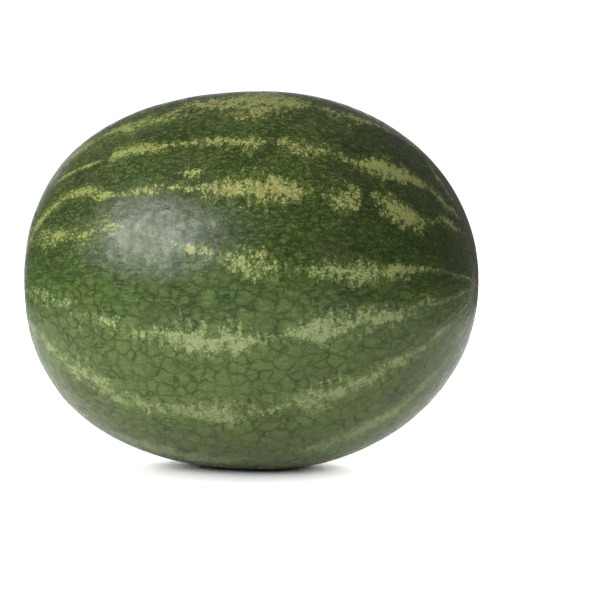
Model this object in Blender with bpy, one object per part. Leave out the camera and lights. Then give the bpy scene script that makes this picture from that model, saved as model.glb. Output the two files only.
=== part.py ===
"""A whole watermelon, lying on its side on a small flat spot.

The fruit grew as one piece, so it is one closed solid. It runs along X, from the stem end at -X,
where a dried stub of the stem stands in a hollow, to the blossom end at +X, where a corky button
sits in a shallower one. +Z is up, and the origin is under the middle of the fruit, on the surface
that it rests on. All lengths are in metres.
"""

import math

import bmesh
import bpy
from mathutils import Vector

# Driving dimensions. A bluntness of 2 is an ellipse, and more is squarer in its shoulders.
DIAMETER = 0.2415  # across the widest ring, which stands at x = 0 while the fruit is shaped
STEM_HALF = 0.154  # from the widest ring to the stem end, before that end is flattened
STEM_BLUNTNESS = 2.3
BLOSSOM_HALF = 0.139  # from the widest ring to the blossom end
BLOSSOM_BLUNTNESS = 2.05
FLATTENING_DEPTH = 0.010  # how far the whole stem end is pressed in
FLATTENING_RADIUS = 0.045

# The ten faint lobes that run from end to end, as shares of the local radius
LOBES = 10
LOBE_SHARE = 0.0012
STEM_LOBE_SHARE = 0.005  # what the lobes gain at the stem's shoulder
STEM_LOBE_FADE = 4  # the power at which that gain dies away towards the blossom end

# How far the girth strays from a true round, as shares of the local radius. Each form turns round
# the long axis from end to end, so that no two sections are alike. Angles are in radians.
OVAL_SHARE = 0.003
OVAL_TOP = math.radians(80)
OVAL_TURN = 0.7
THREE_SIDED_SHARE = 0.002
THREE_SIDED_TOP = math.radians(15)
THREE_SIDED_TURN = 0.6
BELLY_SHARE = 0.006  # how far the underside has settled
BELLY_SPREAD = math.radians(30)

# The hollow at the stem end, and the stub in it, whose rings go from its cut end to its foot
STEM_HOLLOW_DEPTH = 0.0055
STEM_HOLLOW_RADIUS = 0.015
STUB_FOOT_RADIUS = 0.0058
STUB_RADIUS = 0.0038
STUB_LENGTH = 0.0075
STUB_RINGS = ((1.0, 0.86), (0.94, 1.0), (0.55, 0.97), (0.25, 1.06), (0.08, 1.26))
STUB_RIDGES = 5
STUB_RIDGE_SHARE = 0.07

# The hollow at the blossom end, and the button in it, whose rings go from its edge to its crown
BLOSSOM_HOLLOW_DEPTH = 0.0022
BLOSSOM_HOLLOW_RADIUS = 0.011
BUTTON_RADIUS = 0.0042
BUTTON_HEIGHT = 0.0006
BUTTON_RINGS = ((0.0, 1.0), (0.8, 0.86), (1.0, 0.5), (0.7, 0.2))

# The flat spot that it rests on is cut this far above the lowest point of the belly
FLAT_SPOT_DEPTH = 0.0009

# Mesh
SEGMENTS_AROUND = 72
STATIONS_PER_HALF = 25
CLEAR_OF_SCAR = 1.2  # how much wider the skin's end rings are than the stub's foot and the button
SMOOTH_BELOW = math.radians(35)

RIND_COLOUR = (0.075, 0.115, 0.035, 1.0)
RIND_ROUGHNESS = 0.38


def hollow(radius, depth, spread):
    """How far an end is drawn in at this distance from the long axis."""
    return depth * math.exp(-((radius / spread) ** 2))


def quarter(along, half, bluntness):
    """(x, radius) at a share of the way from the widest ring, at 0, to a rounded end, at 1."""
    return half * along, DIAMETER / 2 * (1 - along**bluntness) ** (1 / bluntness)


def stem_quarter(along):
    """The section's stem half, from its pressed-in end with the hollow to the widest ring."""
    x, radius = quarter(along, STEM_HALF, STEM_BLUNTNESS)
    flattening = hollow(radius, FLATTENING_DEPTH, FLATTENING_RADIUS)
    return flattening + hollow(radius, STEM_HOLLOW_DEPTH, STEM_HOLLOW_RADIUS) - x, radius


def blossom_quarter(along):
    """The section's blossom half, from the widest ring to the end with its shallow hollow."""
    x, radius = quarter(along, BLOSSOM_HALF, BLOSSOM_BLUNTNESS)
    return x - hollow(radius, BLOSSOM_HOLLOW_DEPTH, BLOSSOM_HOLLOW_RADIUS), radius


def unevenness(x, angle):
    """What the local radius is multiplied by, for the lobes, an uneven girth and a settled belly."""
    along = x / (STEM_HALF if x < 0 else BLOSSOM_HALF)
    lobe_share = LOBE_SHARE + STEM_LOBE_SHARE * ((1 - along) / 2) ** STEM_LOBE_FADE
    lobes = lobe_share * math.cos(LOBES * angle)
    oval = OVAL_SHARE * math.cos(2 * (angle - OVAL_TOP - OVAL_TURN * along))
    three_sided = THREE_SIDED_SHARE * math.cos(3 * (angle - THREE_SIDED_TOP + THREE_SIDED_TURN * along))
    off_down = math.remainder(angle + math.pi / 2, 2 * math.pi)
    belly = BELLY_SHARE * math.exp(-((off_down / BELLY_SPREAD) ** 2))
    return 1 + lobes + oval + three_sided - belly


def stub_ridges(x, angle):
    return 1 + STUB_RIDGE_SHARE * math.cos(STUB_RIDGES * angle)


def true_round(x, angle):
    return 1


def stub_sections():
    """(x, radius) of the stem's rings, from its cut end to its flared foot in the hollow."""
    foot_x = stem_quarter(1)[0]
    rings = [(foot_x - STUB_LENGTH * out, STUB_RADIUS * wide) for out, wide in STUB_RINGS]
    return rings + [(foot_x, STUB_FOOT_RADIUS)]


def body_sections():
    """(x, radius) of the skin's rings, between the stub's foot and the button's edge."""
    steps = range(1, STATIONS_PER_HALF)
    shares = [math.sin(math.pi / 2 * i / STATIONS_PER_HALF) for i in steps]
    stem_half = [stem_quarter(share) for share in reversed(shares)]
    blossom_half = [blossom_quarter(share) for share in [0] + shares]
    kept = [section for section in stem_half if section[1] > STUB_FOOT_RADIUS * CLEAR_OF_SCAR]
    return kept + [section for section in blossom_half if section[1] > BUTTON_RADIUS * CLEAR_OF_SCAR]


def button_sections():
    """(x, radius) of the blossom scar's rings, from its edge in the hollow to its crown."""
    floor_x = blossom_quarter(1)[0]
    return [(floor_x + BUTTON_HEIGHT * up, BUTTON_RADIUS * out) for up, out in BUTTON_RINGS]


def ring(bm, x, radius, shape):
    """One ring of vertices round the long axis, each at the radius that shape gives for its angle."""
    angles = [2 * math.pi * i / SEGMENTS_AROUND for i in range(SEGMENTS_AROUND)]
    reach = [(angle, radius * shape(x, angle)) for angle in angles]
    return [bm.verts.new((x, r * math.cos(angle), r * math.sin(angle))) for angle, r in reach]


def fruit_mesh():
    """The closed skin: the stub, the body and the button in one run of rings, capped at both ends."""
    bm = bmesh.new()
    rings = [ring(bm, x, radius, stub_ridges) for x, radius in stub_sections()]
    rings += [ring(bm, x, radius, unevenness) for x, radius in body_sections()]
    rings += [ring(bm, x, radius, true_round) for x, radius in button_sections()]
    for near, far in zip(rings, rings[1:]):
        for i in range(SEGMENTS_AROUND):
            after = (i + 1) % SEGMENTS_AROUND
            bm.faces.new((near[i], near[after], far[after], far[i]))
    bm.faces.new(reversed(rings[0]))
    bm.faces.new(rings[-1])
    bmesh.ops.recalc_face_normals(bm, faces=bm.faces)
    return bm


def cut_flat_spot(bm):
    """Cuts the belly off level, and closes the cut with one flat face."""
    height = min(v.co.z for v in bm.verts) + FLAT_SPOT_DEPTH
    everything = bm.verts[:] + bm.edges[:] + bm.faces[:]
    cut = bmesh.ops.bisect_plane(
        bm,
        geom=everything,
        plane_co=(0, 0, height),
        plane_no=(0, 0, -1),
        clear_outer=True,
    )
    rim = [edge for edge in cut["geom_cut"] if isinstance(edge, bmesh.types.BMEdge)]
    bmesh.ops.contextual_create(bm, geom=rim)
    bmesh.ops.recalc_face_normals(bm, faces=bm.faces)


def stand_on_origin(bm):
    """Moves the mesh so that its box is centred over the origin, with the flat spot at z = 0."""
    low = Vector(min(v.co[i] for v in bm.verts) for i in range(3))
    high = Vector(max(v.co[i] for v in bm.verts) for i in range(3))
    middle = (low + high) / 2
    bmesh.ops.translate(bm, verts=bm.verts, vec=(-middle.x, -middle.y, -low.z))


def rind_material():
    material = bpy.data.materials.new("rind")
    material.use_nodes = True
    shader = material.node_tree.nodes["Principled BSDF"]
    shader.inputs["Base Color"].default_value = RIND_COLOUR
    shader.inputs["Roughness"].default_value = RIND_ROUGHNESS
    shader.inputs["Metallic"].default_value = 0.0
    material.diffuse_color = RIND_COLOUR
    return material


def watermelon():
    bm = fruit_mesh()
    cut_flat_spot(bm)
    stand_on_origin(bm)
    mesh = bpy.data.meshes.new("watermelon")
    bm.to_mesh(mesh)
    bm.free()
    mesh.materials.append(rind_material())
    mesh.shade_smooth()
    mesh.set_sharp_from_angle(angle=SMOOTH_BELOW)
    fruit = bpy.data.objects.new("watermelon", mesh)
    bpy.context.scene.collection.objects.link(fruit)
    return fruit


for leftover in list(bpy.data.objects):
    bpy.data.objects.remove(leftover)
watermelon()
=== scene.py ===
"""The looks of a whole striped watermelon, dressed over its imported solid.

The rind is a finer skin on the same formula as the solid. Each point of it also carries its place
along and round the fruit and how strongly the light bands and other marks show there, which the
rind's material reads. The stem stub and the blossom scar are finer pieces of their own. Lengths
are in metres and colours are sRGB from 0 to 255, unless a name or a comment says otherwise.
"""

import math
from types import SimpleNamespace

import bpy
import numpy as np
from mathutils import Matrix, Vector, noise


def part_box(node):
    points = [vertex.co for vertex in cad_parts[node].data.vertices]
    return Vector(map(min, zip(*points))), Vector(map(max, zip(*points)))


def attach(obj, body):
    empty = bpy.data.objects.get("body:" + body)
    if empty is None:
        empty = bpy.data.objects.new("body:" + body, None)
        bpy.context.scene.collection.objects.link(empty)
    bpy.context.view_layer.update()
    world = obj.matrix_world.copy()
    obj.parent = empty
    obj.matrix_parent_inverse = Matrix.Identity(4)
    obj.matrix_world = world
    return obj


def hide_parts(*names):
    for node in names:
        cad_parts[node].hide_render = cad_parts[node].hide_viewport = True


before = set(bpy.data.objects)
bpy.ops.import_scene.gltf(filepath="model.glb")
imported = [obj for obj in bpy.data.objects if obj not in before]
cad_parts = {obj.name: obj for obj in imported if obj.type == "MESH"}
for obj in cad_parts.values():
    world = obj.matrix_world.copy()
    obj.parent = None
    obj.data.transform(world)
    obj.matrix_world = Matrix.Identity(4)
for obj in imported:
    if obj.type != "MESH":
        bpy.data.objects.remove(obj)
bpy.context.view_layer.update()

# The solid's own dimensions, under the names that its source gives them
DIAMETER = 0.2415
STEM_HALF = 0.154
STEM_BLUNTNESS = 2.3
BLOSSOM_HALF = 0.139
BLOSSOM_BLUNTNESS = 2.05
FLATTENING_DEPTH = 0.010
FLATTENING_RADIUS = 0.045
LOBES = 10
LOBE_SHARE = 0.0012
STEM_LOBE_SHARE = 0.005
STEM_LOBE_FADE = 4
OVAL_SHARE = 0.003
OVAL_TOP = math.radians(80)
OVAL_TURN = 0.7
THREE_SIDED_SHARE = 0.002
THREE_SIDED_TOP = math.radians(15)
THREE_SIDED_TURN = 0.6
BELLY_SHARE = 0.006
BELLY_SPREAD = math.radians(30)
STEM_HOLLOW_DEPTH = 0.0055
STEM_HOLLOW_RADIUS = 0.015
STUB_RADIUS = 0.0038
STUB_LENGTH = 0.0075
STUB_RIDGES = 5
STUB_RIDGE_SHARE = 0.07
BLOSSOM_HOLLOW_DEPTH = 0.0022
BLOSSOM_HOLLOW_RADIUS = 0.011
BUTTON_RADIUS = 0.0042
BUTTON_HEIGHT = 0.0006
FLAT_SPOT_DEPTH = 0.0009

# The finer stub and button, each as (share of its height, share of its radius) from its foot to
# the middle of its free end
STUB_PROFILE = (
    (-0.05, 1.75), (0.06, 1.34), (0.25, 1.05), (0.55, 0.96), (0.88, 0.99), (0.97, 0.95), (1.0, 0.86),
    (0.985, 0.72), (0.94, 0.45), (0.93, 0.18), (0.935, 0.0),
)
STUB_FIBRES = 31
STUB_FIBRE_SHARE = 0.018
STUB_FIBRE_TWIST = 260  # in radians per metre
BUTTON_PROFILE = (
    (-0.4, 1.12), (0.45, 1.0), (0.82, 0.84), (0.95, 0.66), (0.75, 0.56), (0.98, 0.44), (0.8, 0.30),
    (0.45, 0.14), (0.4, 0.0),
)
BUTTON_RAGGEDNESS = 0.05
STUB_SEGMENTS = 120
BUTTON_SEGMENTS = 96
PROFILE_STEPS = 5  # from each point of a profile to the next

# The fine skin
SKIN_SEGMENTS = 400
SKIN_STATIONS_PER_HALF = 122
SWELL_HEIGHT = 0.00022  # a slow unevenness of the rind
SWELL_SIZE = 0.022
SWELL_SEED = 3
DIMPLE_HEIGHT = 0.00004
DIMPLE_SIZE = 0.007
DIMPLE_SEED = 7
UNROLLED_RADIUS = 0.12  # the place round the fruit is kept on a circle of this radius

# The light bands of the side that faces -Y. Each runs through points of (place along the fruit in
# millimetres, angle above the side that faces -Y in degrees, half width in millimetres, strength).
# A strength of 1 is a full band, and at 0 only a few flecks are left of it.
FRONT_BANDS = (
    # The band along the top
    (
        (-128, 62, 2, 0.2), (-100, 62, 10, 0.7), (-78, 61, 14, 0.75), (-60, 60, 15, 0.75), (-45, 62, 15, 0.7),
        (-30, 66, 16, 0.8), (-18, 68, 17, 0.85), (-8, 69, 17, 0.9), (4, 71, 22, 1.25), (18, 69, 23, 1.35),
        (28, 68, 16, 1.15), (38, 70, 14, 1.0), (50, 71, 11, 0.75), (63, 71, 10, 0.75), (72, 73, 14, 0.95),
        (82, 77, 10, 0.8), (96, 82, 8, 0.6), (110, 85, 5, 0.3),
    ),
    # A thin branch at the blossom end
    (
        (112, 82, 2, 0.2), (120, 75, 5, 0.8), (129, 74, 5, 0.8), (138, 80, 2, 0.5),
    ),
    # The next band down
    (
        (-118, 45, 2, 0.1), (-108, 46, 3, 0.6), (-97, 45, 3, 0.65), (-87, 44, 4, 0.65), (-80, 45, 3, 0.4),
        (-76, 45, 2, -0.3), (-73, 45, 3, 0.2), (-70, 45, 10, 0.85), (-58, 46, 9, 0.85), (-49, 46, 8, 0.8),
        (-38, 45, 6, 0.7), (-28, 46, 3, 0.5), (-20, 46, 5, 0.6), (-7, 46, 6, 0.7), (7, 46, 8, 0.85),
        (22, 46, 8, 0.85), (29, 46, 3, 0.1), (37, 46, 8, 0.85), (48, 46, 10, 0.9), (59, 47, 8, 0.75),
        (70, 47, 5, 0.6), (79, 47, 4, 0.5), (84, 48, 9, 0.95), (93, 50, 10, 1.2), (104, 52, 10, 1.15),
        (112, 55, 7, 0.9), (118, 57, 6, 0.75), (128, 58, 6, 0.9), (133, 64, 5, 0.9), (138, 76, 3, 0.5),
    ),
    # A lone patch
    (
        (-25, 35, 2, -0.2), (-18, 34, 9, 0.7), (-9, 35, 9, 0.7), (-2, 36, 2, -0.2),
    ),
    # The broadest band
    (
        (-132, 22, 7, 0.5), (-124, 27, 9, 0.6), (-114, 31, 8, 0.65), (-92, 34, 5, 0.75), (-82, 33, 6, 0.85),
        (-72, 31, 7, 0.85), (-62, 30, 4, 0.6), (-57, 29, 3, 0.5), (-46, 30, 5, 0.75), (-32, 30, 6, 0.8),
        (-22, 30, 4, 0.6), (-14, 29, 5, 0.7), (-4, 29, 7, 0.8), (6, 29, 10, 0.9), (18, 29, 13, 0.95),
        (30, 29, 13, 0.95), (42, 30, 11, 0.9), (53, 29, 10, 0.8), (58, 31, 5, 0.3), (64, 31, 7, 0.4),
        (70, 30, 9, 0.9), (78, 30, 12, 1.0), (85, 31, 9, 0.9), (88, 33, 3, -0.2), (92, 35, 7, 0.8),
        (98, 34, 9, 1.05), (106, 33, 10, 1.05), (113, 33, 9, 1.0), (119, 34, 8, 0.9), (123, 38, 5, 0.5),
        (126, 44, 5, 0.7), (130, 46, 7, 0.9), (134, 51, 6, 0.9), (138, 62, 3, 0.4),
    ),
    # The band below it, which runs through the highlight
    (
        (-130, 20, 4, 0.3), (-118, 21, 11, 0.55), (-104, 18, 13, 0.6), (-93, 17, 10, 0.4),
        (-84, 16, 12, 0.55), (-72, 19, 15, 0.6), (-61, 19, 13, 0.6), (-54, 18, 8, 0.2), (-30, 15, 5, 0.2),
        (0, 10, 8, 0.5), (32, 7, 11, 0.85), (54, 6, 8, 0.2), (74, 6, 10, 0.8), (104, 7, 8, 0.85),
        (130, 10, 4, 0.5),
    ),
    # The three lower bands
    (
        (-128, -3, 8, 0.1), (-110, -4, 12, 0.3), (-96, -7, 13, 0.35), (-80, -10, 11, 0.3), (-40, -13, 8, 0.5),
        (-12, -15, 12, 0.8), (20, -15, 13, 0.9), (38, -14, 6, 0.1), (64, -13, 12, 0.9), (100, -11, 10, 0.8),
        (130, -9, 4, 0.5),
    ),
    (
        (-128, -22, 7, 0.3), (-112, -26, 12, 0.5), (-97, -29, 15, 0.55), (-80, -32, 16, 0.6),
        (-58, -37, 14, 0.6), (-24, -39, 10, 0.6), (6, -38, 13, 0.9), (30, -38, 8, 0.2),
        (56, -37, 13, 0.9), (90, -34, 10, 0.8), (130, -30, 4, 0.5),
    ),
    (
        (-120, -60, 4, 0.2), (-80, -62, 7, 0.5), (-66, -63, 8, 0.9), (-54, -62, 9, 1.3), (-41, -63, 9, 1.3),
        (-30, -66, 9, 1.0), (0, -64, 11, 0.7), (30, -61, 6, 0.2), (64, -60, 11, 0.8), (96, -59, 9, 0.8),
        (125, -56, 4, 0.5),
    ),
)
# The middles of the bands of the other side in the same degrees, and how each is drawn
BACK_BANDS = (-88, -111, -131, -148, -169, 166, 143, 121, 98)
BACK_BAND_SEED = 11
BACK_BAND_POINTS = (-135, -95, -60, -25, 10, 40, 75, 105, 135)
BACK_BAND_HALF_WIDTHS = (3, 6, 7, 8, 10, 9, 9, 8, 4)
BACK_BAND_WANDER = 3.0  # in degrees
BAND_MEANDER = 0.0020  # how far any band strays to either side between its points
BAND_MEANDER_LENGTH = 0.016
LOWEST_COVER = -1.5

# Short slashes at the stem end give way to blotches over this part of the length, in metres
SLASHES_END = -0.066
BLOTCHES_START = -0.022
# Blotches give way to plainer pale patches over this part
BLOTCHES_END = 0.055
PATCHES_START = 0.095

# The pale spot where the fruit lay on the ground, at the back of the belly
GROUND_SPOT_PLACE = 0.012
GROUND_SPOT_ANGLE = -104
GROUND_SPOT_LENGTH = 0.058
GROUND_SPOT_WIDTH = 0.040

# The heights on the unrolled circle between which the rind turns calmer, greener and paler. The paleness is
# painted light from the white floor below.
CALMER_AND_BOUNCE_LIT_HEIGHTS = (0.05, -0.02)
GREENER_HEIGHTS = (0.078, 0.040)
BOUNCE_LIGHT_HEIGHTS = (0.01, -0.08)

# The ground between the bands, with two tints that are multiplied in. Its paler greens low down are painted
# light from the white floor below.
DEEP_GREEN = (50, 64, 20)
FRESH_GREEN = (74, 90, 34)
STREAK_GREEN = (98, 114, 60)
MOTTLE_GREEN = (103, 115, 63)
COOL_TINT = (236, 250, 240)
GREENER_TINT = (234, 247, 230)
BOUNCE_LIT_GREEN = (114, 132, 71)
BOUNCE_LIT_CELL_GREEN = (120, 138, 78)
SPECKLE_GREEN = (20, 29, 8)
CRACK_GREEN = (26, 36, 12)
NET_GREEN = (34, 54, 16)
STAIN_BROWN = (66, 62, 44)

# The bands' edges and middles, and the pale spot. Their paler colours low down are painted light from the
# white floor below.
DARK_OLIVE = (66, 78, 32)
LIGHT_OLIVE = (102, 112, 56)
BOUNCE_LIT_OLIVE = (122, 140, 84)
DULL_PALE = (104, 110, 54)
BRIGHT_PALE = (156, 160, 98)
SLASH_PALE = (134, 146, 78)
TANNED_PALE = (146, 134, 74)
PATCH_PALE = (152, 159, 94)
BOUNCE_LIT_PALE = (146, 160, 112)
GROUND_SPOT_YELLOW = (196, 178, 104)

# The dried stem and the corky blossom scar
STEM_BROWN = (74, 58, 34)
STEM_STRAW = (148, 128, 88)
STEM_GREEN = (98, 96, 52)
CORK_BROWN = (116, 100, 62)
CORK_TAN = (172, 156, 112)
CORK_CRACK = (62, 52, 32)

# The photograph's view
CAMERA_AZIMUTH = 14
CAMERA_ELEVATION = 2.5
CAMERA_DISTANCE = 1.35
CAMERA_LENS = 126.5
CAMERA_SHIFT_X = 0.0758
CAMERA_SHIFT_Y = -0.0338
AIM_HEIGHT = 0.120

# The white floor widens away from the camera as its view does, and no more, so that the rind's
# edges reflect little of it. The half widths are at its front and back edges.
FLOOR_FRONT_HALF_WIDTH = 0.30
FLOOR_BACK_HALF_WIDTH = 0.75
FLOOR_AHEAD = 1.4
FLOOR_BEHIND = 3.0
FLOOR_BRIGHTNESS = 0.86

# The floor's own lamps, which stand all round it
FLOOR_LAMPS = 12
FLOOR_LAMP_ELEVATION = 25
FLOOR_LAMP_ANGLE = 25  # how wide each looks from the floor, in degrees
FLOOR_LAMP_DISTANCE = 3.0
FLOOR_LAMP_LEAN = 0.5  # the share by which those at the back are stronger: the shadow falls forwards


def hollow(radius, depth, spread):
    return depth * np.exp(-((radius / spread) ** 2))


def quarter(along, half, bluntness):
    """(x, radius) at shares of the way from the widest ring, at 0, to a rounded end, at 1."""
    return half * along, DIAMETER / 2 * (1 - along**bluntness) ** (1 / bluntness)


def stem_quarter(along):
    x, radius = quarter(along, STEM_HALF, STEM_BLUNTNESS)
    flattening = hollow(radius, FLATTENING_DEPTH, FLATTENING_RADIUS)
    return flattening + hollow(radius, STEM_HOLLOW_DEPTH, STEM_HOLLOW_RADIUS) - x, radius


def blossom_quarter(along):
    x, radius = quarter(along, BLOSSOM_HALF, BLOSSOM_BLUNTNESS)
    return x - hollow(radius, BLOSSOM_HOLLOW_DEPTH, BLOSSOM_HOLLOW_RADIUS), radius


def unevenness(x, angle):
    """What the local radius is multiplied by, as on the solid."""
    along = np.where(x < 0, x / STEM_HALF, x / BLOSSOM_HALF)
    lobe_share = LOBE_SHARE + STEM_LOBE_SHARE * ((1 - along) / 2) ** STEM_LOBE_FADE
    lobes = lobe_share * np.cos(LOBES * angle)
    oval = OVAL_SHARE * np.cos(2 * (angle - OVAL_TOP - OVAL_TURN * along))
    three_sided = THREE_SIDED_SHARE * np.cos(3 * (angle - THREE_SIDED_TOP + THREE_SIDED_TURN * along))
    off_down = wrapped(angle + math.pi / 2)
    belly = BELLY_SHARE * np.exp(-((off_down / BELLY_SPREAD) ** 2))
    return 1 + lobes + oval + three_sided - belly


def wrapped(angle):
    """The same angle between -pi and pi."""
    return (angle + math.pi) % (2 * math.pi) - math.pi


def section():
    """x, radius and the way along the skin of every ring, from the stem's pole to the blossom's."""
    steps = np.arange(0, SKIN_STATIONS_PER_HALF + 1)
    shares = np.sin(math.pi / 2 * steps / SKIN_STATIONS_PER_HALF)
    stem_x, stem_radius = stem_quarter(shares[::-1])
    blossom_x, blossom_radius = blossom_quarter(shares[1:])
    x = np.concatenate([stem_x, blossom_x])
    radius = np.concatenate([stem_radius, blossom_radius])
    steps_along = np.hypot(np.diff(x), np.diff(radius))
    return x, radius, np.concatenate([[0], np.cumsum(steps_along)])


def shift_to_frame(points):
    """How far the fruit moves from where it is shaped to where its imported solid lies."""
    low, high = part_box("watermelon")
    stub_end = stem_quarter(np.array(1.0))[0] - STUB_LENGTH
    middle_y = (points[:, 1].min() + points[:, 1].max()) / 2
    belly = points[:, 2].min() + FLAT_SPOT_DEPTH
    return np.array([low.x - stub_end, (low.y + high.y) / 2 - middle_y, low.z - belly])


def ripple(points, size, seed):
    """A smooth noise between about -1 and 1 at each point, with bumps of about this size."""
    offset = Vector((seed, 2 * seed, -seed))
    return np.array([noise.noise(Vector(point) / size + offset) for point in points])


def line_noise(values, size, seed):
    """The same for single numbers, such as the way along a band."""
    return np.array([noise.noise(Vector((value / size, seed, 0.5))) for value in values])


def back_bands():
    """The bands that are drawn at random, in the form of the front ones."""
    draw = np.random.default_rng(BACK_BAND_SEED)
    bands = []
    for middle in BACK_BANDS:
        angles = middle + draw.normal(0, BACK_BAND_WANDER, len(BACK_BAND_POINTS)).cumsum() / 2
        widths = np.array(BACK_BAND_HALF_WIDTHS) * draw.uniform(0.6, 1.3, len(BACK_BAND_POINTS))
        strengths = draw.uniform(0.45, 1.1, len(BACK_BAND_POINTS))
        bands.append(tuple(zip(BACK_BAND_POINTS, angles, widths, strengths)))
    return tuple(bands)


def band_cover(x, radius, way, angles):
    """How strongly a light band shows: its strength at its middle, and less by 1 per half width."""
    cover = np.full((len(x), len(angles)), LOWEST_COVER)
    for index, band in enumerate(FRONT_BANDS + back_bands()):
        places, heights, widths, strengths = np.array(band, dtype=float).T
        middle = np.radians(180 - np.interp(x * 1000, places, heights))
        width = np.interp(x * 1000, places, widths) / 1000
        strength = np.interp(x * 1000, places, strengths)
        narrowing = np.minimum(1, radius / (DIAMETER / 4))
        wander = BAND_MEANDER * line_noise(way, BAND_MEANDER_LENGTH, index) * narrowing
        offset = wrapped(angles[None, :] - middle[:, None]) * radius[:, None] + wander[:, None]
        gap = np.abs(offset) / (width * narrowing + 1e-5)[:, None]
        cover = np.maximum(cover, strength[:, None] - gap)
    return cover


def smooth_step(value, low, high):
    share = np.clip((value - low) / (high - low), 0, 1)
    return share * share * (3 - 2 * share)


def ground_spot(x, angles):
    """1 in the middle of the pale spot on the belly, and falling to 0 at its edge and past it."""
    middle = math.radians(180 - GROUND_SPOT_ANGLE)
    aside = wrapped(angles - middle)[None, :] * DIAMETER / 2 / GROUND_SPOT_WIDTH
    ahead = ((x - GROUND_SPOT_PLACE) / GROUND_SPOT_LENGTH)[:, None]
    return np.clip(1 - np.hypot(aside, ahead), 0, 1)


def ring_faces(rings, segments):
    """Quads between rings of vertices that follow each other, numbered ring by ring."""
    start = np.arange(rings - 1)[:, None] * segments
    here = np.arange(segments)[None, :]
    after = (here + 1) % segments
    corners = [start + here, start + after, start + segments + after, start + segments + here]
    return np.stack([c.ravel() for c in corners], axis=1)


def new_piece(name, points, faces, material):
    """An object with this mesh, shaded smooth, riding on the fruit in place of its solid."""
    mesh = bpy.data.meshes.new(name)
    mesh.from_pydata([tuple(p) for p in points], [], [tuple(f) for f in faces])
    mesh.validate()
    mesh.shade_smooth()
    mesh.materials.append(material)
    piece = bpy.data.objects.new(name, mesh)
    bpy.context.scene.collection.objects.link(piece)
    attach(piece, "root")
    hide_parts("watermelon")
    return piece


def rings_of_points(x, radius, angles, shape):
    """The points of rings round the long axis, whose radius shape changes with x and the angle."""
    around = np.stack([np.zeros_like(angles), np.cos(angles), np.sin(angles)], axis=1)
    reach = radius[:, None] * shape(x[:, None], angles[None, :])
    points = x[:, None, None] * np.array([1, 0, 0]) + reach[:, :, None] * around
    return points.reshape(-1, 3)


def turned_piece(name, profile, shape, segments, shift, material):
    """A piece turned round the long axis. Its profile ends at the pole that shows."""
    x, radius = np.array(profile[:-1]).T
    angles = 2 * math.pi * np.arange(segments) / segments
    points = rings_of_points(x, radius, angles, shape)
    points = np.concatenate([points, [[profile[-1][0], 0, 0]]]) + shift
    faces = ring_faces(len(x), segments).tolist()
    pole = len(points) - 1
    last_ring = (len(x) - 1) * segments
    for i in range(segments):
        faces.append((pole, last_ring + i, last_ring + (i + 1) % segments))
    return new_piece(name, points, faces, material)


def smooth_profile(corners):
    """A fine (x, radius) line through these corners, eased between each two of them."""
    line = []
    for (x0, r0), (x1, r1) in zip(corners, corners[1:]):
        for share in np.arange(PROFILE_STEPS) / PROFILE_STEPS:
            eased = share * share * (3 - 2 * share)
            line.append((x0 + (x1 - x0) * share, r0 + (r1 - r0) * eased))
    return line + [corners[-1]]


def stub_shape(x, angle):
    """The stub's five ridges, with finer fibres on them."""
    ridges = STUB_RIDGE_SHARE * np.cos(STUB_RIDGES * angle)
    fibres = STUB_FIBRE_SHARE * np.cos(STUB_FIBRES * angle + STUB_FIBRE_TWIST * x)
    return 1 + ridges + fibres


def stem_stub(shift, material):
    """The dried stem, from its flared foot in the hollow to its slightly sunken cut end."""
    foot_x = stem_quarter(np.array(1.0))[0]
    corners = [(foot_x - STUB_LENGTH * out, STUB_RADIUS * wide) for out, wide in STUB_PROFILE]
    profile = smooth_profile(corners)
    return turned_piece("stem_stub", profile, stub_shape, STUB_SEGMENTS, shift, material)


def button_shape(x, angle):
    """The scar's ragged edge, from two waves round it that beat against each other."""
    return 1 + BUTTON_RAGGEDNESS * np.cos(5 * angle) * np.cos(3 * angle + 1)


def blossom_button(shift, material):
    """The corky blossom scar, a low ring with a sunken middle."""
    floor_x = blossom_quarter(np.array(1.0))[0]
    corners = [(floor_x + BUTTON_HEIGHT * up, BUTTON_RADIUS * wide) for up, wide in BUTTON_PROFILE]
    profile = smooth_profile(corners)
    return turned_piece("blossom_button", profile, button_shape, BUTTON_SEGMENTS, shift, material)


def fruit_skin(material):
    """The whole rind as rings of vertices, with a single vertex at either pole, and its shift."""
    x, radius, way = section()
    x, radius, way = x[1:-1], radius[1:-1], way[1:-1]
    angles = 2 * math.pi * np.arange(SKIN_SEGMENTS) / SKIN_SEGMENTS
    points = rings_of_points(x, radius, angles, unevenness)
    shift = shift_to_frame(points)
    points = with_relief(points + shift, shift)
    poles = [stem_quarter(np.array(1.0))[0], blossom_quarter(np.array(1.0))[0]]
    points = np.concatenate([points, [[pole, 0, 0] + shift for pole in poles]])
    piece = new_piece("rind_skin", points, skin_faces(len(x)), material)
    store_place(piece, way, angles)
    store_marks(piece, x + shift[0], radius, way, angles)
    return piece, shift


def with_relief(points, shift):
    """The skin's points moved by its slow swells and its dimples, and none below the floor."""
    outward = points - np.array([shift[0], shift[1], points[:, 2].mean()])
    outward /= np.linalg.norm(outward, axis=1)[:, None]
    swells = SWELL_HEIGHT * ripple(points, SWELL_SIZE, SWELL_SEED)
    dimples = DIMPLE_HEIGHT * ripple(points, DIMPLE_SIZE, DIMPLE_SEED)
    moved = points + outward * (swells + dimples)[:, None]
    moved[:, 2] = np.maximum(moved[:, 2], 0)
    return moved


def skin_faces(rings):
    """Quads between the rings, and triangles to the two poles, which are the last two vertices."""
    faces = ring_faces(rings, SKIN_SEGMENTS).tolist()
    stem_pole = rings * SKIN_SEGMENTS
    blossom_pole = stem_pole + 1
    last_ring = (rings - 1) * SKIN_SEGMENTS
    for i in range(SKIN_SEGMENTS):
        after = (i + 1) % SKIN_SEGMENTS
        faces.append((stem_pole, after, i))
        faces.append((blossom_pole, last_ring + i, last_ring + after))
    return faces


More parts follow.
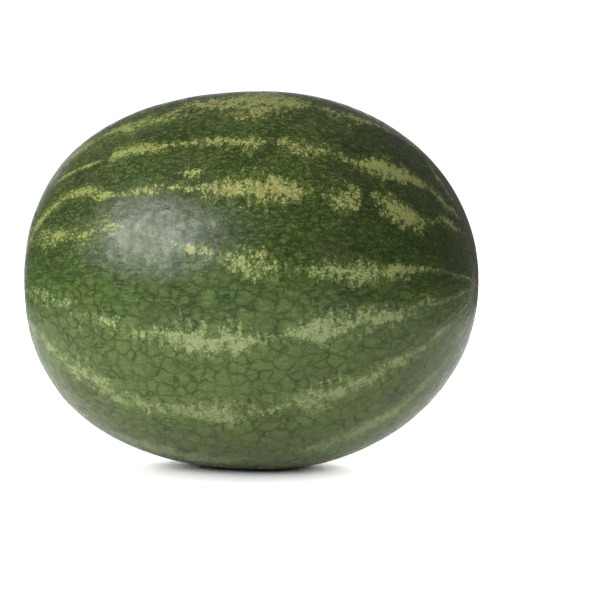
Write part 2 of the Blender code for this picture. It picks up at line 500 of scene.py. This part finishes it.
def store_place(piece, way, angles):
    """Keeps each vertex's way along the skin, and its place on the unrolled circle."""
    place = np.empty((len(way) * SKIN_SEGMENTS + 2, 3))
    place[:-2, 0] = np.repeat(way, SKIN_SEGMENTS)
    place[:-2, 1] = np.tile(np.cos(angles) * UNROLLED_RADIUS, len(way))
    place[:-2, 2] = np.tile(np.sin(angles) * UNROLLED_RADIUS, len(way))
    place[-2:] = [[0, 0, 0], [way[-1], 0, 0]]
    store(piece, "skin_place", "FLOAT_VECTOR", "vector", place)


def store_marks(piece, x, radius, way, angles):
    """Keeps how strongly each kind of mark shows at each vertex, and at the two poles."""
    store_number(piece, "band_cover", band_cover(x, radius, way, angles), LOWEST_COVER, LOWEST_COVER)
    slashes = 1 - smooth_step(x, SLASHES_END, BLOTCHES_START)
    store_number(piece, "slashes", np.repeat(slashes, SKIN_SEGMENTS), 1, 0)
    patches = smooth_step(x, BLOTCHES_END, PATCHES_START)
    store_number(piece, "patches", np.repeat(patches, SKIN_SEGMENTS), 0, 1)
    store_number(piece, "ground_spot", ground_spot(x, angles), 0, 0)


def store_number(piece, name, values, at_stem_pole, at_blossom_pole):
    """Keeps a number for every vertex, given as the rings' numbers and the two poles'."""
    store(piece, name, "FLOAT", "value", np.append(values.ravel(), [at_stem_pole, at_blossom_pole]))


def store(piece, name, kind, field, values):
    """Keeps a number or a vector for every vertex, for the material to read."""
    layer = piece.data.attributes.new(name, kind, "POINT")
    layer.data.foreach_set(field, np.asarray(values, dtype=np.float32).ravel())


def linear(colour):
    """An sRGB colour from 0 to 255 as the linear colour that shaders use."""
    shares = [channel / 255 for channel in colour]
    return [s / 12.92 if s <= 0.04045 else ((s + 0.055) / 1.055) ** 2.4 for s in shares] + [1.0]


class Paint:
    """A material's nodes, added one by one. Each call returns the new node's output."""

    def __init__(self, name):
        self.material = bpy.data.materials.new(name)
        self.material.use_nodes = True
        self.tree = self.material.node_tree
        self.surface = self.tree.nodes["Principled BSDF"].inputs

    def put(self, value, socket):
        """Joins an output to the socket, or sets the socket to a plain number or colour."""
        if isinstance(value, bpy.types.NodeSocket):
            self.tree.links.new(value, socket)
        else:
            socket.default_value = value

    def node(self, kind, **settings):
        made = self.tree.nodes.new(kind)
        for name, value in settings.items():
            setattr(made, name, value)
        return made

    def attribute(self, name, output):
        return self.node("ShaderNodeAttribute", attribute_name=name).outputs[output]

    def object_place(self):
        return self.node("ShaderNodeTexCoord").outputs["Object"]

    def part(self, vector, axis):
        made = self.node("ShaderNodeSeparateXYZ")
        self.put(vector, made.inputs[0])
        return made.outputs[axis]

    def math(self, operation, first, second=0.0):
        made = self.node("ShaderNodeMath", operation=operation)
        self.put(first, made.inputs[0])
        self.put(second, made.inputs[1])
        return made.outputs[0]

    def sum(self, first, *rest):
        total = first
        for value in rest:
            total = self.math("ADD", total, value)
        return total

    def times(self, first, second):
        return self.math("MULTIPLY", first, second)

    def swing(self, noise_value, reach):
        """Noise around 0.5 as a number that goes to about reach to either side of 0."""
        return self.times(self.math("SUBTRACT", noise_value, 0.5), 4 * reach)

    def scaled(self, place, size, stretch=1.0):
        """The place in units of size, with the first axis longer by stretch."""
        made = self.node("ShaderNodeVectorMath", operation="MULTIPLY")
        self.put(place, made.inputs[0])
        made.inputs[1].default_value = (1 / (size * stretch), 1 / size, 1 / size)
        return made.outputs[0]

    def cloud(self, place, size, stretch=1.0, detail=2.0, roughness=0.5, seed=0.0):
        """Soft noise whose blobs are about this size, between about 0.25 and 0.75."""
        made = self.node("ShaderNodeTexNoise", noise_dimensions="4D")
        self.put(self.scaled(place, size, stretch), made.inputs["Vector"])
        made.inputs["W"].default_value = seed
        made.inputs["Scale"].default_value = 1.0
        made.inputs["Detail"].default_value = detail
        made.inputs["Roughness"].default_value = roughness
        return made.outputs["Fac"]

    def warped(self, place, size, reach, seed=0.0):
        """The place moved by soft noise, by up to about reach."""
        drift = self.node("ShaderNodeTexNoise", noise_dimensions="4D")
        self.put(self.scaled(place, size), drift.inputs["Vector"])
        drift.inputs["W"].default_value = seed
        drift.inputs["Scale"].default_value = 1.0
        drift.inputs["Detail"].default_value = 1.0
        centred = self.node("ShaderNodeVectorMath", operation="SUBTRACT")
        self.put(drift.outputs["Color"], centred.inputs[0])
        centred.inputs[1].default_value = (0.5, 0.5, 0.5)
        sized = self.node("ShaderNodeVectorMath", operation="SCALE")
        self.put(centred.outputs[0], sized.inputs[0])
        sized.inputs["Scale"].default_value = 2 * reach
        moved = self.node("ShaderNodeVectorMath", operation="ADD")
        self.put(place, moved.inputs[0])
        self.put(sized.outputs[0], moved.inputs[1])
        return moved.outputs[0]

    def cell_edges(self, place, size, stretch=1.0):
        """The distance from the edges between cells of about this size, in sizes."""
        made = self.node("ShaderNodeTexVoronoi", feature="DISTANCE_TO_EDGE")
        self.put(self.scaled(place, size, stretch), made.inputs["Vector"])
        made.inputs["Scale"].default_value = 1.0
        return made.outputs["Distance"]

    def step(self, value, low, high, to_low=0.0, to_high=1.0):
        """Goes smoothly from to_low, where the value is at low, to to_high, where it is at high."""
        made = self.node("ShaderNodeMapRange", interpolation_type="SMOOTHSTEP")
        self.put(value, made.inputs["Value"])
        made.inputs["From Min"].default_value = low
        made.inputs["From Max"].default_value = high
        made.inputs["To Min"].default_value = to_low
        made.inputs["To Max"].default_value = to_high
        return made.outputs["Result"]

    def fade(self, mask, outside, inside):
        """Goes smoothly from one number, where the mask is 0, to another, where it is 1."""
        return self.step(mask, 0.0, 1.0, outside, inside)

    def mix(self, share, first, second, blend="MIX"):
        """Two colours mixed. A mix node's colours are its inputs 6 and 7 and its output 2."""
        made = self.node("ShaderNodeMix", data_type="RGBA", blend_type=blend)
        self.put(share, made.inputs[0])
        self.put(first, made.inputs[6])
        self.put(second, made.inputs[7])
        return made.outputs[2]

    def mix_number(self, share, first, second):
        """Two numbers mixed. A mix node's numbers are its inputs 2 and 3 and its output 0."""
        made = self.node("ShaderNodeMix", data_type="FLOAT")
        self.put(share, made.inputs[0])
        self.put(first, made.inputs[2])
        self.put(second, made.inputs[3])
        return made.outputs[0]

    def bump(self, height, distance, strength=1.0):
        made = self.node("ShaderNodeBump")
        made.inputs["Strength"].default_value = strength
        made.inputs["Distance"].default_value = distance
        self.put(height, made.inputs["Height"])
        return made.outputs["Normal"]


def rind_marks(paint):
    """The places on the skin, masks and noises that more than one part of its looks reads."""
    place = paint.attribute("skin_place", "Vector")
    loose = paint.warped(place, size=0.005, reach=0.0016, seed=1.0)
    height = paint.part(place, 2)
    # Low down the rind's marks are calmer, and its colours are painted paler with light from the white floor
    # below
    low_down = paint.step(height, *CALMER_AND_BOUNCE_LIT_HEIGHTS)
    slashes = paint.times(paint.attribute("slashes", "Fac"), paint.fade(low_down, 1.0, 0.2))
    slash_marks = paint.cloud(loose, size=0.0021, stretch=3.6, detail=3.0, roughness=0.6, seed=3.0)
    blotch_marks = paint.cloud(loose, size=0.0046, stretch=0.9, detail=2.0, seed=2.0)
    net_place = paint.warped(place, size=0.006, reach=0.0030, seed=2.0)
    return SimpleNamespace(
        place=place,
        loose=loose,
        height=height,
        low_down=low_down,
        slashes=slashes,
        patches=paint.attribute("patches", "Fac"),
        bold=paint.mix_number(slashes, blotch_marks, slash_marks),
        flecks=paint.cloud(loose, size=0.0015, stretch=1.0, detail=2.0, roughness=0.6, seed=4.0),
        grain=paint.cloud(place, size=0.0011, stretch=1.0, detail=2.0, roughness=0.7, seed=8.0),
        islands=paint.cloud(place, size=0.011, stretch=1.5, detail=1.0, seed=5.0),
        net=paint.cell_edges(net_place, size=0.0080, stretch=1.1),
    )


def broken_cover(paint, marks):
    """The cover of the light bands with every kind of mark added, which breaks up their edges."""
    flames = paint.cloud(marks.loose, size=0.0075, stretch=0.33, detail=2.0, seed=12.0)
    scale_gap = paint.step(paint.cell_edges(marks.loose, size=0.0027, stretch=1.3), 0.02, 0.17, 1.0, 0.0)
    calm = paint.fade(marks.patches, 1.0, 0.7)
    return paint.sum(
        paint.attribute("band_cover", "Fac"),
        paint.times(paint.swing(marks.bold, 0.60), calm),
        paint.times(paint.swing(flames, 0.50), paint.fade(marks.slashes, 1.0, 0.2)),
        paint.times(paint.swing(marks.flecks, 0.38), calm),
        paint.swing(marks.islands, 0.40),
        paint.times(scale_gap, paint.fade(marks.slashes, -0.45, -0.35)),
    )


def streaked_green(paint, marks):
    """The ground between the bands, with its slow changes, streaks and mottles."""
    tone = paint.cloud(marks.place, size=0.020, stretch=1.6, detail=3.0, seed=6.0)
    green = paint.mix(paint.step(tone, 0.35, 0.65), linear(DEEP_GREEN), linear(FRESH_GREEN))
    quiet = paint.fade(marks.patches, 1.0, 0.6)
    streaks = paint.cloud(marks.loose, size=0.0013, stretch=5.0, detail=2.0, roughness=0.6, seed=7.0)
    streaks = paint.times(paint.step(streaks, 0.42, 0.64, 0.0, 0.85), quiet)
    green = paint.mix(streaks, green, linear(STREAK_GREEN))
    mottles = paint.cloud(marks.loose, size=0.0030, stretch=2.0, detail=3.0, roughness=0.6, seed=15.0)
    mottles = paint.times(paint.step(mottles, 0.50, 0.64, 0.0, 0.6), quiet)
    green = paint.mix(mottles, green, linear(MOTTLE_GREEN))
    cool = paint.cloud(marks.place, size=0.012, stretch=1.6, detail=2.0, seed=16.0)
    return paint.mix(paint.step(cool, 0.48, 0.62), green, linear(COOL_TINT), "MULTIPLY")


def greener_and_bounce_lit_low_down(paint, marks, green):
    """The same ground, greener and then paler towards the belly, most of all between the net. The paleness is
    painted light from the white floor below.
    """
    greener = paint.step(marks.height, *GREENER_HEIGHTS)
    green = paint.mix(greener, green, linear(GREENER_TINT), "MULTIPLY")
    # Painted light from the white floor below: the ground turns paler towards the belly
    painted_bounce_light = paint.step(marks.height, *BOUNCE_LIGHT_HEIGHTS, 0.0, 0.6)
    green = paint.mix(painted_bounce_light, green, linear(BOUNCE_LIT_GREEN))
    # Painted light from the floor: the middles between the net lines are paler low down
    bounce_lit_cell_middles = paint.times(marks.low_down, paint.step(marks.net, 0.08, 0.34, 0.0, 0.25))
    return paint.mix(bounce_lit_cell_middles, green, linear(BOUNCE_LIT_CELL_GREEN))


def darkened(paint, marks, green):
    """The same ground with its dark speckle, fine lengthwise cracks, wide net and faint stains."""
    speckle = paint.step(marks.grain, 0.36, 0.56, 0.8, 0.0)
    speckle = paint.times(speckle, paint.fade(marks.low_down, 1.0, 0.4))
    green = paint.mix(speckle, green, linear(SPECKLE_GREEN))
    cracks = paint.step(paint.cell_edges(marks.loose, size=0.0034, stretch=2.2), 0.02, 0.15, 1.0, 0.0)
    cracks = paint.times(cracks, paint.fade(marks.low_down, 0.55, 0.10))
    green = paint.mix(cracks, green, linear(CRACK_GREEN))
    net_line = paint.step(marks.net, 0.0, 0.10, 1.0, 0.0)
    net_line = paint.times(net_line, paint.step(marks.islands, 0.36, 0.58, 0.30, 0.75))
    green = paint.mix(net_line, green, linear(NET_GREEN))
    stains = paint.cloud(marks.place, size=0.030, stretch=1.3, detail=3.0, seed=14.0)
    return paint.mix(paint.step(stains, 0.56, 0.70, 0.0, 0.35), green, linear(STAIN_BROWN))


def olive_edge(paint, marks):
    olive = paint.mix(paint.step(marks.grain, 0.35, 0.62), linear(DARK_OLIVE), linear(LIGHT_OLIVE))
    # Painted light from the floor: the bands' edges are paler low down
    return paint.mix(paint.fade(marks.low_down, 0.0, 0.8), olive, linear(BOUNCE_LIT_OLIVE))


def pale_middle(paint, marks):
    """The bands' colour, which differs at either end and is tanned in places, and is paler low down with
    painted light from the white floor below.
    """
    pale = paint.mix(paint.step(marks.flecks, 0.36, 0.62), linear(DULL_PALE), linear(BRIGHT_PALE))
    pale = paint.mix(paint.step(marks.slashes, 0.2, 1.0, 0.0, 0.7), pale, linear(SLASH_PALE))
    tanned = paint.step(marks.islands, 0.54, 0.70, 0.0, 0.5)
    tanned = paint.times(tanned, paint.fade(marks.slashes, 1.0, 0.3))
    tanned = paint.times(tanned, paint.fade(marks.low_down, 1.0, 0.0))
    pale = paint.mix(tanned, pale, linear(TANNED_PALE))
    pale = paint.mix(paint.step(marks.patches, 0.2, 1.0, 0.0, 0.5), pale, linear(PATCH_PALE))
    # Painted light from the floor: the bands are paler low down
    return paint.mix(paint.fade(marks.low_down, 0.0, 0.7), pale, linear(BOUNCE_LIT_PALE))


def put_wax_on(paint, marks):
    """An uneven gloss, under a thin bloom that spreads a wide haze round the highlight."""
    dulled = paint.cloud(marks.place, size=0.007, stretch=0.8, detail=3.0, roughness=0.6, seed=11.0)
    paint.put(paint.step(dulled, 0.36, 0.62, 0.17, 0.34), paint.surface["Roughness"])
    waxy = paint.sum(0.26, paint.swing(dulled, -0.09), paint.swing(marks.grain, -0.07))
    paint.put(waxy, paint.surface["Specular IOR Level"])
    paint.surface["Coat Weight"].default_value = 0.18
    paint.surface["Coat Roughness"].default_value = 0.5


def put_fine_relief_on(paint, marks):
    height = paint.sum(
        paint.times(marks.grain, 0.30),
        paint.times(paint.cloud(marks.place, size=0.0045, stretch=1.3, seed=9.0), 0.7),
        paint.times(paint.cloud(marks.place, size=0.010, stretch=1.3, detail=1.0, seed=10.0), 1.3),
    )
    paint.put(paint.bump(height, 0.00060, 0.5), paint.surface["Normal"])


def rind_material():
    """Dark green skin with a dark net, light broken bands from end to end and a waxy gloss."""
    paint = Paint("rind")
    marks = rind_marks(paint)
    cover = broken_cover(paint, marks)
    green = streaked_green(paint, marks)
    green = greener_and_bounce_lit_low_down(paint, marks, green)
    green = darkened(paint, marks, green)
    colour = paint.mix(paint.step(cover, -0.35, 0.50), green, olive_edge(paint, marks))
    colour = paint.mix(paint.step(cover, 0.25, 0.65), colour, pale_middle(paint, marks))
    ground_spot_cover = paint.sum(paint.attribute("ground_spot", "Fac"), paint.swing(marks.bold, 0.12))
    colour = paint.mix(paint.step(ground_spot_cover, 0.12, 0.45), colour, linear(GROUND_SPOT_YELLOW))
    paint.put(colour, paint.surface["Base Color"])
    put_wax_on(paint, marks)
    put_fine_relief_on(paint, marks)
    return paint.material


def dried_stem_material():
    paint = Paint("dried_stem")
    place = paint.object_place()
    fibres = paint.cloud(place, size=0.0006, stretch=7.0, detail=3.0, roughness=0.6)
    blotches = paint.cloud(place, size=0.003, stretch=1.0, seed=2.0)
    colour = paint.mix(paint.step(fibres, 0.35, 0.65), linear(STEM_BROWN), linear(STEM_STRAW))
    colour = paint.mix(paint.step(blotches, 0.5, 0.7, 0.0, 0.5), colour, linear(STEM_GREEN))
    paint.put(colour, paint.surface["Base Color"])
    paint.put(paint.step(fibres, 0.3, 0.7, 0.65, 0.85), paint.surface["Roughness"])
    paint.put(paint.bump(fibres, 0.0003, 0.8), paint.surface["Normal"])
    return paint.material


def cork_material():
    paint = Paint("cork")
    place = paint.object_place()
    crumbs = paint.cloud(place, size=0.0005, stretch=1.0, detail=3.0, roughness=0.6)
    cracks = paint.cell_edges(paint.warped(place, size=0.002, reach=0.0006), size=0.0011)
    colour = paint.mix(paint.step(crumbs, 0.35, 0.65), linear(CORK_BROWN), linear(CORK_TAN))
    colour = paint.mix(paint.step(cracks, 0.0, 0.12, 0.8, 0.0), colour, linear(CORK_CRACK))
    paint.put(colour, paint.surface["Base Color"])
    paint.put(paint.step(crumbs, 0.3, 0.7, 0.75, 0.9), paint.surface["Roughness"])
    paint.put(paint.bump(paint.step(cracks, 0.0, 0.2), 0.0002, 0.8), paint.surface["Normal"])
    return paint.material


def towards(azimuth, elevation):
    """The way from the fruit to a camera or lamp. Azimuth 0 is at -Y and 90 at +X."""
    a = math.radians(azimuth)
    e = math.radians(elevation)
    return Vector((math.sin(a) * math.cos(e), -math.cos(a) * math.cos(e), math.sin(e)))


def add_camera():
    camera = bpy.data.objects.new("camera", bpy.data.cameras.new("camera"))
    camera.data.sensor_width = 36
    camera.data.lens = CAMERA_LENS
    camera.data.shift_x = CAMERA_SHIFT_X
    camera.data.shift_y = CAMERA_SHIFT_Y
    back = towards(CAMERA_AZIMUTH, CAMERA_ELEVATION)
    camera.location = Vector((0, 0, AIM_HEIGHT)) + back * CAMERA_DISTANCE
    camera.rotation_euler = (-back).to_track_quat("-Z", "Y").to_euler()
    bpy.context.scene.collection.objects.link(camera)
    bpy.context.scene.camera = camera


def add_lamp(name, data, azimuth, elevation, distance, roll=0):
    """A lamp that faces the fruit from this way, turned about it by roll, and isn't seen itself."""
    lamp = bpy.data.objects.new(name, data)
    way = towards(azimuth, elevation)
    lamp.location = Vector((0, 0, AIM_HEIGHT)) + way * distance
    lamp.rotation_euler = way.to_track_quat("Z", "Y").to_euler()
    lamp.rotation_euler.rotate_axis("Z", math.radians(roll))
    lamp.visible_camera = False
    bpy.context.scene.collection.objects.link(lamp)
    return lamp


def add_softbox(name, azimuth, elevation, distance, width, height, power, roll=0):
    data = bpy.data.lights.new(name, "AREA")
    data.shape = "RECTANGLE"
    data.size = width
    data.size_y = height
    data.energy = power
    return add_lamp(name, data, azimuth, elevation, distance, roll)


def light_only(lamps, lit):
    """These lamps light only these objects."""
    group = bpy.data.collections.new(lamps[0].name + "_lights")
    for thing in lit:
        group.objects.link(thing)
    for lamp in lamps:
        lamp.light_linking.receiver_collection = group


def add_floor_lamps(name, strength, bounces):
    """Soft low lamps all round, so that only a close shadow shows on the floor."""
    lamps = []
    for i in range(FLOOR_LAMPS):
        turn = 360 * (i + 0.5) / FLOOR_LAMPS
        data = bpy.data.lights.new("%s_%d" % (name, i), "SUN")
        data.energy = strength / FLOOR_LAMPS * (1 - FLOOR_LAMP_LEAN * math.cos(math.radians(turn)))
        data.angle = math.radians(FLOOR_LAMP_ANGLE)
        data.cycles.max_bounces = bounces
        azimuth = CAMERA_AZIMUTH + turn
        lamps.append(add_lamp(data.name, data, azimuth, FLOOR_LAMP_ELEVATION, FLOOR_LAMP_DISTANCE))
    return lamps


def add_floor():
    corners = [
        (-FLOOR_FRONT_HALF_WIDTH, -FLOOR_AHEAD, 0),
        (FLOOR_FRONT_HALF_WIDTH, -FLOOR_AHEAD, 0),
        (FLOOR_BACK_HALF_WIDTH, FLOOR_BEHIND, 0),
        (-FLOOR_BACK_HALF_WIDTH, FLOOR_BEHIND, 0),
    ]
    mesh = bpy.data.meshes.new("floor")
    mesh.from_pydata(corners, [], [(0, 1, 2, 3)])
    floor = bpy.data.objects.new("floor", mesh)
    paint = Paint("floor")
    paint.surface["Base Color"].default_value = (FLOOR_BRIGHTNESS, FLOOR_BRIGHTNESS, FLOOR_BRIGHTNESS, 1.0)
    paint.surface["Roughness"].default_value = 0.8
    paint.surface["Specular IOR Level"].default_value = 0.0
    mesh.materials.append(paint.material)
    floor.rotation_euler.z = math.radians(CAMERA_AZIMUTH)
    bpy.context.scene.collection.objects.link(floor)
    return floor


def add_surroundings(strength, reflected_strength, seen_strength):
    """A plain white world, dimmer as a light than as it is seen, and dimmest as it is reflected."""
    world = bpy.data.worlds.new("studio")
    world.use_nodes = True
    tree = world.node_tree
    path = tree.nodes.new("ShaderNodeLightPath")
    unseen = tree.nodes.new("ShaderNodeMix")
    tree.links.new(path.outputs["Is Glossy Ray"], unseen.inputs[0])
    unseen.inputs[2].default_value = strength
    unseen.inputs[3].default_value = reflected_strength
    power = tree.nodes.new("ShaderNodeMix")
    tree.links.new(path.outputs["Is Camera Ray"], power.inputs[0])
    tree.links.new(unseen.outputs[0], power.inputs[2])
    power.inputs[3].default_value = seen_strength
    background = tree.nodes["Background"].inputs
    background["Color"].default_value = (1, 1, 1, 1)
    tree.links.new(power.outputs[0], background["Strength"])
    bpy.context.scene.world = world


skin, shift = fruit_skin(rind_material())
stub = stem_stub(shift, dried_stem_material())
button = blossom_button(shift, cork_material())
add_camera()
floor = add_floor()
add_surroundings(strength=0.41, reflected_strength=0.16, seen_strength=1.3)
key = add_softbox(
    "key",
    azimuth=CAMERA_AZIMUTH - 50,
    elevation=25.5,
    distance=1.6,
    width=1.02,
    height=0.76,
    power=27,
    roll=-20,
)
# The white wall behind the fruit, which only its rims reflect
wall = add_softbox(
    "wall",
    azimuth=CAMERA_AZIMUTH + 187,
    elevation=6,
    distance=3.0,
    width=2.2,
    height=1.3,
    power=6,
)
light_only([key, wall], [skin, stub, button])
# The first lamps also light the fruit by way of the floor, and the others only whiten the floor
light_only(add_floor_lamps("floor_lamp", strength=4.8, bounces=8), [floor])
light_only(add_floor_lamps("whitening_lamp", strength=13.2, bounces=0), [floor])
bpy.context.scene.view_settings.view_transform = "Standard"
